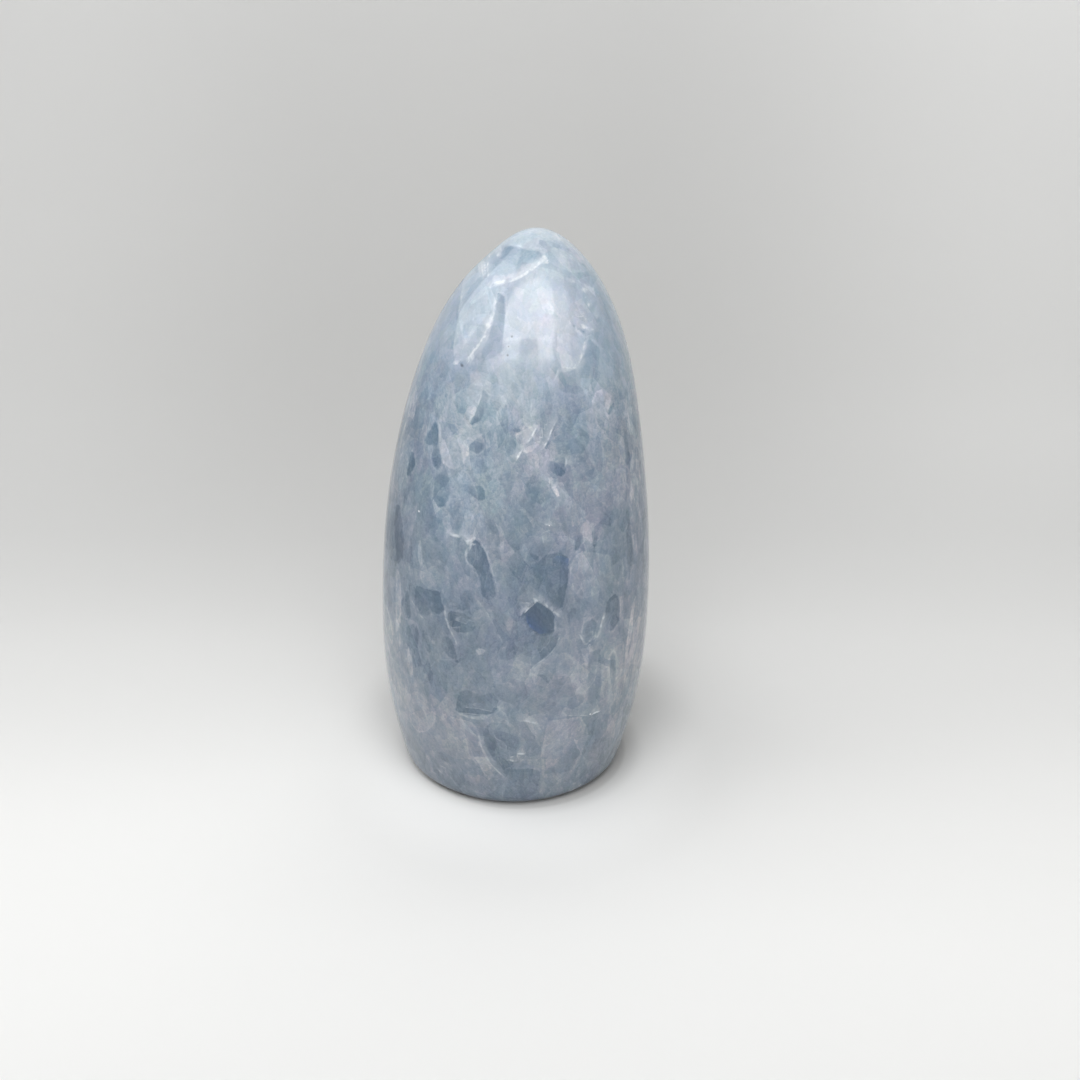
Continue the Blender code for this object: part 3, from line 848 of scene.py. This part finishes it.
def storeLayer(mesh, name, layer):
    attribute = mesh.attributes.new(name, "FLOAT_VECTOR", "POINT")
    attribute.data.foreach_set("vector", layer.astype(np.float32).ravel())


def markStone(mesh):
    rng = np.random.default_rng(scatter["seed"])
    shardLayer, windowLayer, veinLayer = newLayer(), newLayer(), newLayer()
    veinLayer[:, 0] = far
    for layer, patches in ((shardLayer, shards), (windowLayer, windows)):
        for name, change, hue, fade, corners in patches:
            paintPatch(layer, *frontPlaces(corners), change, hue, fade, corners)
    for width, strength, corners in veins:
        paintVein(veinLayer, *frontPlaces(corners), width, strength, corners)
    vein = scatter["veins"]
    scatterPatches(shardLayer, scatter["shards"], rng)
    scatterPatches(windowLayer, scatter["windows"], rng)
    scatterVeins(veinLayer, vein["count"], rng)
    scatterVeins(veinLayer, vein["frontCount"], np.random.default_rng(vein["frontSeed"]), front=True)
    storeLayer(mesh, "shardMarks", shardLayer)
    storeLayer(mesh, "windowMarks", windowLayer)
    storeLayer(mesh, "veinMarks", veinLayer)
    storeLayer(mesh, "zoneMarks", paintZones(rng))


markStone(stonePiece.data)
print("markings placed")

# Polished blue calcite. Lightness and hue are added up as powers, so that darker is also bluer.
# Sizes are in millimetres.

calcite = {
    "base": (0.300, 0.362, 0.440),
    # how strongly each amount acts on red, green and blue
    "lightness": (1.3, 1.0, 0.78),
    "paintedLightAndMilkLightness": (1.08, 1.0, 0.88),
    "lavender": (0.060, -0.012, 0.0),
    "blueness": (-0.006, 0.0, 0.05),
    "greyness": (0.0, 0.0, -0.035),
    "sapphire": (-0.36, 0.0, 0.40),
    # everything in the stone is bent: size of the bends and how far they go, broad ones and fine ones
    "lean": (17, 5.0),
    "tear": (2.2, 0.6),
    "ragged": (1.3, 6, 0.72),  # edges of markings: size, detail and roughness of the noise
    # size, lean in degrees, how much lightness and hue differ between crystals
    "crystals": (
        (11.0, 12, 0.12, 0.3),
        (6.0, -18, 0.20, 0.5),
        (3.2, 25, 0.25, 0.7),
        (1.5, -8, 0.20, 0.6),
        (0.6, 15, 0.18, 0.5),
    ),
    "crystalTall": (1, 1, 0.55),  # less along an axis makes them longer that way
    "crystalContrast": 1.3,
    "crystalFade": (-0.22, 0.04, 0.25),  # over one side each thins out to this share
    # size and power
    "clouds": (16, 0.4),
    "tinge": (11, 1.6),
    "blueClouds": (4, 2.5),
    "grain": (0.38, 0.55),
    "specks": (1.3, 0.16),
    "speckEdge": (0.22, 0.06),
    "speckChance": (0.75, 0.95),  # few cells of the pattern carry one
    "streaks": (1.5, 0.10, 0.9),  # size, power everywhere, and more of it in streaky zones
    "streakTall": (1, 1, 0.10),
    "calm": (84, 99, 0.45),  # from the first height to the next the contrast falls to this share
    # height, lightness: darker at the base edge, a painted shadow of the gap under the stone's edge; lighter
    # towards the tip, partly a milkier stone and partly painted light from above
    "paintedLightAndMilk": (
        (0, -1.3), (1.2, -1.1), (2.8, -0.68), (5, -0.54), (10, -0.47), (20, -0.32), (30, -0.30), (42, -0.29),
        (52, -0.25), (61, -0.17), (70, -0.02), (80, 0.03), (90, 0.24), (100, 0.41), (110, 0.49), (118, 0.42),
    ),
    "greyBelow": (45, 12),  # heights between which the stone turns greyer
    "zoneHue": 0.7,
    "roughness": (0.06, 0.11),
    "polish": (5, 0.3, 0.75),  # size of the patches in the polish, and the noise between its limits
    "subsurface": 0.15,
    "subsurfaceColour": (0.8, 0.9, 1.0),
    "subsurfaceReach": 1.5,
    "ior": 1.62,
}

# the look of the placed patches, and how deep inside each its bright rim lies and how strong it is
patchLook = {
    "torn": 0.75,  # how ragged the edges are
    "edge": (-0.05, 0.22),
    "patchy": (2.5, 0.4, 0.6),  # size of the gaps in the rims, and the noise between gap and rim
    "rims": (("shardMarks", 0.3, 0.6), ("windowMarks", -0.25, 0.4)),
    "rimWidth": (0.35, 0.05),
    "hue": 0.6,
    "sapphireFrom": (0.7, 1.9),  # hues that turn sapphire
}

veinLook = {
    "colour": (0.85, 0.89, 0.92),
    "torn": 0.5,
    "fall": 1.3,  # weaker veins fade away sooner
    "edge": (1.8, 0.3),  # as shares of the half width
    "broken": (1.1, 0.35, 0.65, 0.3),  # size of the breaks, the noise between break and vein, what is left
    "glow": (1.8, -0.3, 0.30),  # how far it spreads on either side, and its strength
}

# bright points where a tiny crack inside catches the light, painted as highlights, and each tiny pit painted
# dark as its shade: across, up, radius
glints = (
    (-18.2, 67.2, 0.20),
    (7.3, 66.6, 0.14),
    (16.0, 22.8, 0.18),
    (17.0, 22.6, 0.12),
)
pitShade = (
    (0.2, 101.0, 0.22),
    (-0.4, 99.3, 0.18),
    (-0.6, 97.8, 0.25),
    (-9.3, 95.3, 0.32),
)
dotLook = {
    "kinds": ((glints, (0.95, 0.96, 0.97), 0.9), (pitShade, (0.08, 0.09, 0.11), 0.6)),  # colour and cover
    "torn": 0.7,
    "edge": (1.5, 0.3),  # as shares of the radius
    "back": 4.0,  # they don't show further back than this
}

sawnBase = {
    "between": (0.35, 0.12),  # heights over which the unpolished look of the sawn base comes in
    "colour": (0.62, 0.65, 0.70),
    "cover": 0.35,
    "rougher": 0.4,
}


def storedLayer(tree, name):
    marks = addNode(tree, "Attribute", attribute_name=name, attribute_type="GEOMETRY")
    return splitVector(tree, marks.outputs["Vector"])


def crystalFields(tree, bent):
    # lightness, hue and blueness of crystals of several sizes, each fading a little to one side
    value, hue, blue = 0.0, 0.0, 0.0
    start, end, least = calcite["crystalFade"]
    for size, lean, power, hueShare in calcite["crystals"]:
        turn = {"Vector": bent, "Angle": math.radians(lean)}
        turned = addNode(tree, "VectorRotate", turn, rotation_type="Y_AXIS").outputs[0]
        turned = calcVector(tree, "MULTIPLY", turned, calcite["crystalTall"])
        cells = addNode(tree, "TexVoronoi", {"Vector": turned, "Scale": 1 / size, "Randomness": 1.0})
        random = calcVector(tree, "SUBTRACT", cells.outputs["Color"], (0.5, 0.5, 0.5))
        across = calcVector(tree, "SUBTRACT", turned, cells.outputs["Position"])
        slope = calc(tree, "DIVIDE", calcVector(tree, "DOT_PRODUCT", across, random), size)
        fade = rise(tree, slope, start, end, least, 1.0)
        hueDraw, blueDraw, valueDraw = splitVector(tree, random)
        share = calc(tree, "MULTIPLY", valueDraw, fade)
        value = calc(tree, "MULTIPLY_ADD", share, power * calcite["crystalContrast"], value)
        hue = calc(tree, "MULTIPLY_ADD", hueDraw, hueShare, hue)
        blue = calc(tree, "MULTIPLY_ADD", blueDraw, hueShare, blue)
    return value, hue, blue


def fineDetail(tree, leaning, bent, streaky):
    # upright streaks, grain and specks
    size, everywhere, more = calcite["streaks"]
    upright = calcVector(tree, "MULTIPLY", leaning, calcite["streakTall"])
    amount = calc(tree, "MULTIPLY_ADD", streaky, more, everywhere)
    detail = calc(tree, "MULTIPLY", drift(tree, upright, size, 4, 0.7), amount)
    size, power = calcite["grain"]
    detail = calc(tree, "MULTIPLY_ADD", drift(tree, bent, size, 2, 0.7), power, detail)
    size, power = calcite["specks"]
    dots = addNode(tree, "TexVoronoi", {"Vector": bent, "Scale": 1 / size, "Randomness": 1.0})
    chance = splitVector(tree, dots.outputs["Color"])[0]
    speck = rise(tree, dots.outputs["Distance"], *calcite["speckEdge"])
    speck = calc(tree, "MULTIPLY", speck, rise(tree, chance, *calcite["speckChance"]))
    return calc(tree, "MULTIPLY_ADD", speck, power, detail)


def addPatches(tree, place, ragged, value, hue):
    # the placed and scattered patches, with torn edges and partly bright rims
    size, gap, rim = patchLook["patchy"]
    patchy = rise(tree, cloud(tree, place, size, 3), gap, rim)
    sapphire = 0.0
    for name, rimDepth, rimPower in patchLook["rims"]:
        depth, change, own = storedLayer(tree, name)
        depth = calc(tree, "MULTIPLY_ADD", ragged, patchLook["torn"], depth)
        cover = rise(tree, depth, *patchLook["edge"])
        value = calc(tree, "MULTIPLY_ADD", cover, change, value)
        fromRim = calc(tree, "ABSOLUTE", calc(tree, "SUBTRACT", depth, rimDepth))
        rim = calc(tree, "MULTIPLY", rise(tree, fromRim, *patchLook["rimWidth"]), patchy)
        rim = calc(tree, "MULTIPLY", rim, calc(tree, "ABSOLUTE", change))
        value = calc(tree, "MULTIPLY_ADD", rim, rimPower, value)
        hue = calc(tree, "MULTIPLY_ADD", calc(tree, "MULTIPLY", cover, own), patchLook["hue"], hue)
        sapphire = calc(tree, "MULTIPLY_ADD", cover, rise(tree, own, *patchLook["sapphireFrom"]), sapphire)
    return value, hue, sapphire


def stoneColour(tree, amounts):
    # from lightness and hue to colour
    power = (0.0, 0.0, 0.0)
    for name, amount in amounts.items():
        power = calcVector(tree, "ADD", power, calcVector(tree, "SCALE", calcite[name], scale=amount))
    factors = [calc(tree, "EXPONENT", channel) for channel in splitVector(tree, power)]
    return calcVector(tree, "MULTIPLY", joinVector(tree, *factors), calcite["base"])


def addVeins(tree, place, ragged, colour):
    beside, strength, width = storedLayer(tree, "veinMarks")
    beside = calc(tree, "MULTIPLY_ADD", ragged, veinLook["torn"], beside)
    strength = calc(tree, "POWER", strength, veinLook["fall"])
    line = rise(tree, calc(tree, "DIVIDE", calc(tree, "ABSOLUTE", beside), width), *veinLook["edge"])
    size, gap, full, least = veinLook["broken"]
    broken = rise(tree, cloud(tree, place, size, 2), gap, full, least, 1.0)
    line = calc(tree, "MULTIPLY", calc(tree, "MULTIPLY", line, strength), broken)
    one, other, power = veinLook["glow"]
    glow = calc(tree, "MULTIPLY", rise(tree, beside, one, 0.0), rise(tree, beside, other, 0.0))
    glow = calc(tree, "MULTIPLY", calc(tree, "MULTIPLY", glow, strength), power)
    return blendColour(tree, calc(tree, "MAXIMUM", line, glow), colour, (*veinLook["colour"], 1))


def addDots(tree, place, ragged, colour):
    x, y, z = splitVector(tree, place)
    flat = joinVector(tree, x=x, z=z)
    front = calc(tree, "LESS_THAN", y, dotLook["back"])
    outer, inner = dotLook["edge"]
    for group, tone, cover in dotLook["kinds"]:
        for across, up, radius in group:
            away = calcVector(tree, "DISTANCE", flat, (across, 0, up))
            away = calc(tree, "MULTIPLY_ADD", ragged, dotLook["torn"], away)
            dot = calc(tree, "MULTIPLY", rise(tree, away, radius * outer, radius * inner), cover)
            colour = blendColour(tree, calc(tree, "MULTIPLY", dot, front), colour, (*tone, 1))
    return colour


def calciteMaterial():
    material = bpy.data.materials.new("polished_blue_calcite")
    material.use_nodes = True
    tree = material.node_tree
    tree.nodes.clear()
    output = addNode(tree, "OutputMaterial")
    shader = addNode(tree, "BsdfPrincipled")
    tree.links.new(shader.outputs[0], output.inputs["Surface"])

    place = calcVector(tree, "SCALE", addNode(tree, "TexCoord").outputs["Object"], scale=1 / mm)
    height = splitVector(tree, place)[2]
    size, reach = calcite["lean"]
    leaning = calcVector(tree, "ADD", place, driftVector(tree, place, size, 2, 0.5, reach))
    size, reach = calcite["tear"]
    bent = calcVector(tree, "ADD", leaning, driftVector(tree, place, size, 6, 0.7, reach))
    ragged = drift(tree, place, *calcite["ragged"])

    # lightness and hue of the body, then of the markings in it
    zoneValue, zoneHue, streaky = storedLayer(tree, "zoneMarks")
    value, hue, blue = crystalFields(tree, bent)
    size, power = calcite["clouds"]
    value = calc(tree, "MULTIPLY_ADD", drift(tree, bent, size, 4, 0.6), power, value)
    hue = calc(tree, "MULTIPLY_ADD", zoneHue, calcite["zoneHue"], hue)
    size, power = calcite["tinge"]
    hue = calc(tree, "MULTIPLY_ADD", drift(tree, leaning, size, 5, 0.65), power, hue)
    size, power = calcite["blueClouds"]
    blue = calc(tree, "MULTIPLY_ADD", drift(tree, bent, size, 5, 0.8), power, blue)
    value = calc(tree, "ADD", value, fineDetail(tree, leaning, bent, streaky))
    low, high, least = calcite["calm"]
    value = calc(tree, "MULTIPLY", value, rise(tree, height, low, high, 1.0, least))
    value, hue, sapphire = addPatches(tree, place, ragged, value, hue)
    amounts = {
        "lightness": calc(tree, "ADD", value, zoneValue),
        # painted shadow at the base edge and painted light towards the tip, on top of a milkier tip
        "paintedLightAndMilkLightness": floatLine(tree, height, calcite["paintedLightAndMilk"]),
        "lavender": hue,
        "blueness": blue,
        "greyness": calc(tree, "ADD", streaky, rise(tree, height, *calcite["greyBelow"]), clamp=True),
        "sapphire": sapphire,
    }
    colour = stoneColour(tree, amounts)
    colour = addVeins(tree, place, ragged, colour)
    colour = addDots(tree, place, ragged, colour)

    # the sawn base isn't polished
    under = rise(tree, height, *sawnBase["between"])
    cover = calc(tree, "MULTIPLY", under, sawnBase["cover"])
    colour = blendColour(tree, cover, colour, (*sawnBase["colour"], 1))
    size, low, high = calcite["polish"]
    roughness = rise(tree, cloud(tree, place, size, 3), low, high, *calcite["roughness"])
    roughness = calc(tree, "MULTIPLY_ADD", under, sawnBase["rougher"], roughness)

    shader.inputs["IOR"].default_value = calcite["ior"]
    shader.inputs["Subsurface Weight"].default_value = calcite["subsurface"]
    shader.inputs["Subsurface Radius"].default_value = calcite["subsurfaceColour"]
    shader.inputs["Subsurface Scale"].default_value = calcite["subsurfaceReach"] * mm
    feed(tree, shader.inputs["Base Color"], colour)
    feed(tree, shader.inputs["Roughness"], roughness)
    return material


stonePiece.data.materials.clear()
stonePiece.data.materials.append(calciteMaterial())
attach(stonePiece, "root")
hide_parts(stone["node"])
print("stone finished")

# Paper sweep, lights and camera. Lengths are in metres here.

sweep = {
    "halfWidth": 1.6,
    "front": -1.2,
    "bendStart": 0.45,
    "bendRadius": 0.9,
    "top": 2.0,
    "steps": 24,
    "roughness": 0.9,
    "shine": 0.2,
    "warmth": 0.985,  # blue against red and green
    # how far back, and how light the paper is there: painted light, falling off from the front to behind the
    # stone and lighter again up the backdrop
    "tone": (
        (-0.09, 0.83), (-0.065, 0.85), (-0.035, 0.852), (-0.02, 0.838), (0.0, 0.795), (0.02, 0.755),
        (0.045, 0.715), (0.073, 0.655), (0.10, 0.615), (0.13, 0.585), (0.20, 0.566), (0.43, 0.594),
        (1.08, 0.775), (1.3, 0.98),
    ),
    "leastTone": 0.45,
    # painted light: it gets lighter to the sides: how much, where that starts and where it is full, as
    # shares of the depth
    "right": (0.31, 0.06, 0.45),
    "left": (0.14, -0.14, -0.45),
    "depth": (0.91, 0.28),  # of the paper before the camera: per metre back, and under the stone
    "sidesBehind": (-0.02, 0.25),  # only from here to there
    "foot": (0.0235, 0.0228),  # half width and half depth of the stone's foot on the paper
    # painted shadow round the foot, and one ring with a minus as a painted pool of light before it: reach,
    # darker (or with a minus lighter), and how far its middle is moved
    "paintedFootShading": (
        (0.05, 0.16, 0.001, 0.0),
        (0.22, 0.17, 0.0018, 0.001),
        (0.9, 0.26, 0.002, 0.016),
        (0.9, -0.14, 0.003, -0.005),
        (1.6, 0.055, 0.013, 0.012),
    ),
}


def sweepMesh():
    line = [(sweep["front"], 0.0), (sweep["bendStart"], 0.0)]
    for k in range(1, sweep["steps"] + 1):
        angle = k / sweep["steps"] * math.pi / 2
        y = sweep["bendStart"] + sweep["bendRadius"] * math.sin(angle)
        line.append((y, sweep["bendRadius"] * (1 - math.cos(angle))))
    line.append((line[-1][0], sweep["top"]))
    side = sweep["halfWidth"]
    corners = [(x, y, z) for y, z in line for x in (-side, side)]
    faces = [(2 * k, 2 * k + 1, 2 * k + 3, 2 * k + 2) for k in range(len(line) - 1)]
    mesh = bpy.data.meshes.new("paper_sweep")
    mesh.from_pydata(corners, [], faces)
    mesh.shade_smooth()
    return mesh


def paperMaterial():
    material = bpy.data.materials.new("pale_paper")
    material.use_nodes = True
    tree = material.node_tree
    shader = tree.nodes["Principled BSDF"]
    x, away, _ = splitVector(tree, addNode(tree, "TexCoord").outputs["Object"])
    # painted light on the paper: lighter in front, falling off behind the stone
    tone = calc(tree, "MAXIMUM", floatLine(tree, away, sweep["tone"]), sweep["leastTone"])
    # painted light: lighter towards the sides
    sideways = calc(tree, "DIVIDE", x, calc(tree, "MULTIPLY_ADD", away, *sweep["depth"]))
    lighter = []
    for share, start, end in (sweep["right"], sweep["left"]):
        lighter.append(rise(tree, sideways, start, end, 0, share))
    sides = calc(tree, "MULTIPLY", calc(tree, "ADD", *lighter), rise(tree, away, *sweep["sidesBehind"]))
    tone = calc(tree, "MULTIPLY_ADD", tone, sides, tone)
    # painted shadow round the stone's foot, and a painted pool of light in front of it
    across, deep = sweep["foot"]
    for reach, share, right, back in sweep["paintedFootShading"]:
        beside = calc(tree, "DIVIDE", calc(tree, "SUBTRACT", x, right), across)
        behind = calc(tree, "DIVIDE", calc(tree, "SUBTRACT", away, back), deep)
        gap = calc(tree, "SUBTRACT", calcVector(tree, "LENGTH", joinVector(tree, beside, behind)), 1.0)
        tone = calc(tree, "MULTIPLY", tone, rise(tree, gap, 0.0, reach, 1 - share, 1.0))
    channels = {"Red": tone, "Green": tone, "Blue": calc(tree, "MULTIPLY", tone, sweep["warmth"])}
    feed(tree, shader.inputs["Base Color"], addNode(tree, "CombineColor", channels).outputs[0])
    shader.inputs["Roughness"].default_value = sweep["roughness"]
    shader.inputs["Specular IOR Level"].default_value = sweep["shine"]
    return material


def makeSweep():
    piece = bpy.data.objects.new("paper_sweep", sweepMesh())
    bpy.context.scene.collection.objects.link(piece)
    piece.data.materials.append(paperMaterial())


lights = {
    "stone": (0.0, 0.0, 0.09),
    # name, degrees up, degrees round from the front, distance, width, height, radiance, elliptical
    "boxes": (
        ("window_light", 51, 0, 0.62, 0.50, 0.29, 2.5, False),
        ("window_foot_left", 33, -15.5, 0.62, 0.135, 0.12, 2.6, False),
        ("window_foot_right", 33, 15.5, 0.62, 0.135, 0.12, 2.6, False),
        ("window_head", 69, 0, 0.62, 0.36, 0.20, 1.0, True),
        ("window_light_low", 23, 0, 0.66, 0.50, 0.17, 1.1, False),
        ("front_panel", 50, 0, 1.3, 2.0, 1.2, 0.83, False),
        ("left_light", 48, -92, 1.0, 0.7, 0.7, 1.75, False),
        ("ceiling_light", 85, 0, 1.2, 2.2, 2.0, 0.27, False),
    ),
    "backdrop": (0.0, 1.9, 0.35),
    "backdropBox": (42, 0, 1.7, 1.8, 0.5, 2.9, False),
    "room": (0.97, 0.98, 1.0),
    "roomStrength": 0.12,
}


def addSoftbox(name, aim, elevation, azimuth, distance, width, height, radiance, elliptical):
    # a light aimed at a place; a white wall lit to 1 has a radiance of 1
    lamp = bpy.data.lights.new(name, "AREA")
    lamp.shape = "ELLIPSE" if elliptical else "RECTANGLE"
    lamp.size = width
    lamp.size_y = height
    lamp.energy = radiance * math.pi * width * height * (math.pi / 4 if elliptical else 1)
    box = bpy.data.objects.new(name, lamp)
    up, turn = math.radians(elevation), math.radians(azimuth)
    away = Vector((math.cos(up) * math.sin(turn), -math.cos(up) * math.cos(turn), math.sin(up)))
    box.location = Vector(aim) + away * distance
    box.rotation_mode = "QUATERNION"
    box.rotation_quaternion = (-away).to_track_quat("-Z", "Y")
    bpy.context.scene.collection.objects.link(box)
    return box


def makeLights():
    for name, *settings in lights["boxes"]:
        addSoftbox(name, lights["stone"], *settings)
    backdropLight = addSoftbox("backdrop_light", lights["backdrop"], *lights["backdropBox"])
    backdropLight.visible_glossy = False  # or its reflection draws a bright arc round the tip
    world = bpy.data.worlds.new("white_room")
    world.use_nodes = True
    background = world.node_tree.nodes["Background"]
    background.inputs["Color"].default_value = (*lights["room"], 1)
    background.inputs["Strength"].default_value = lights["roomStrength"]
    bpy.context.scene.world = world


camera = {
    "place": (5.49, -232.9, 161.5),  # millimetres
    "lens": 40.0,
    "sensor": 36.0,
    "downwards": 25.0,  # degrees below level
    "sees": (0.01, 20.0),
}


def makeCamera():
    data = bpy.data.cameras.new("photo_view")
    data.lens = camera["lens"]
    data.sensor_width = camera["sensor"]
    data.clip_start, data.clip_end = camera["sees"]
    view = bpy.data.objects.new("photo_view", data)
    view.location = Vector(camera["place"]) * mm
    view.rotation_euler = (math.radians(90 - camera["downwards"]), 0, 0)
    bpy.context.scene.collection.objects.link(view)
    bpy.context.scene.camera = view


makeSweep()
makeLights()
makeCamera()
bpy.context.scene.view_settings.view_transform = "Standard"
print("stage, lights and camera ready")
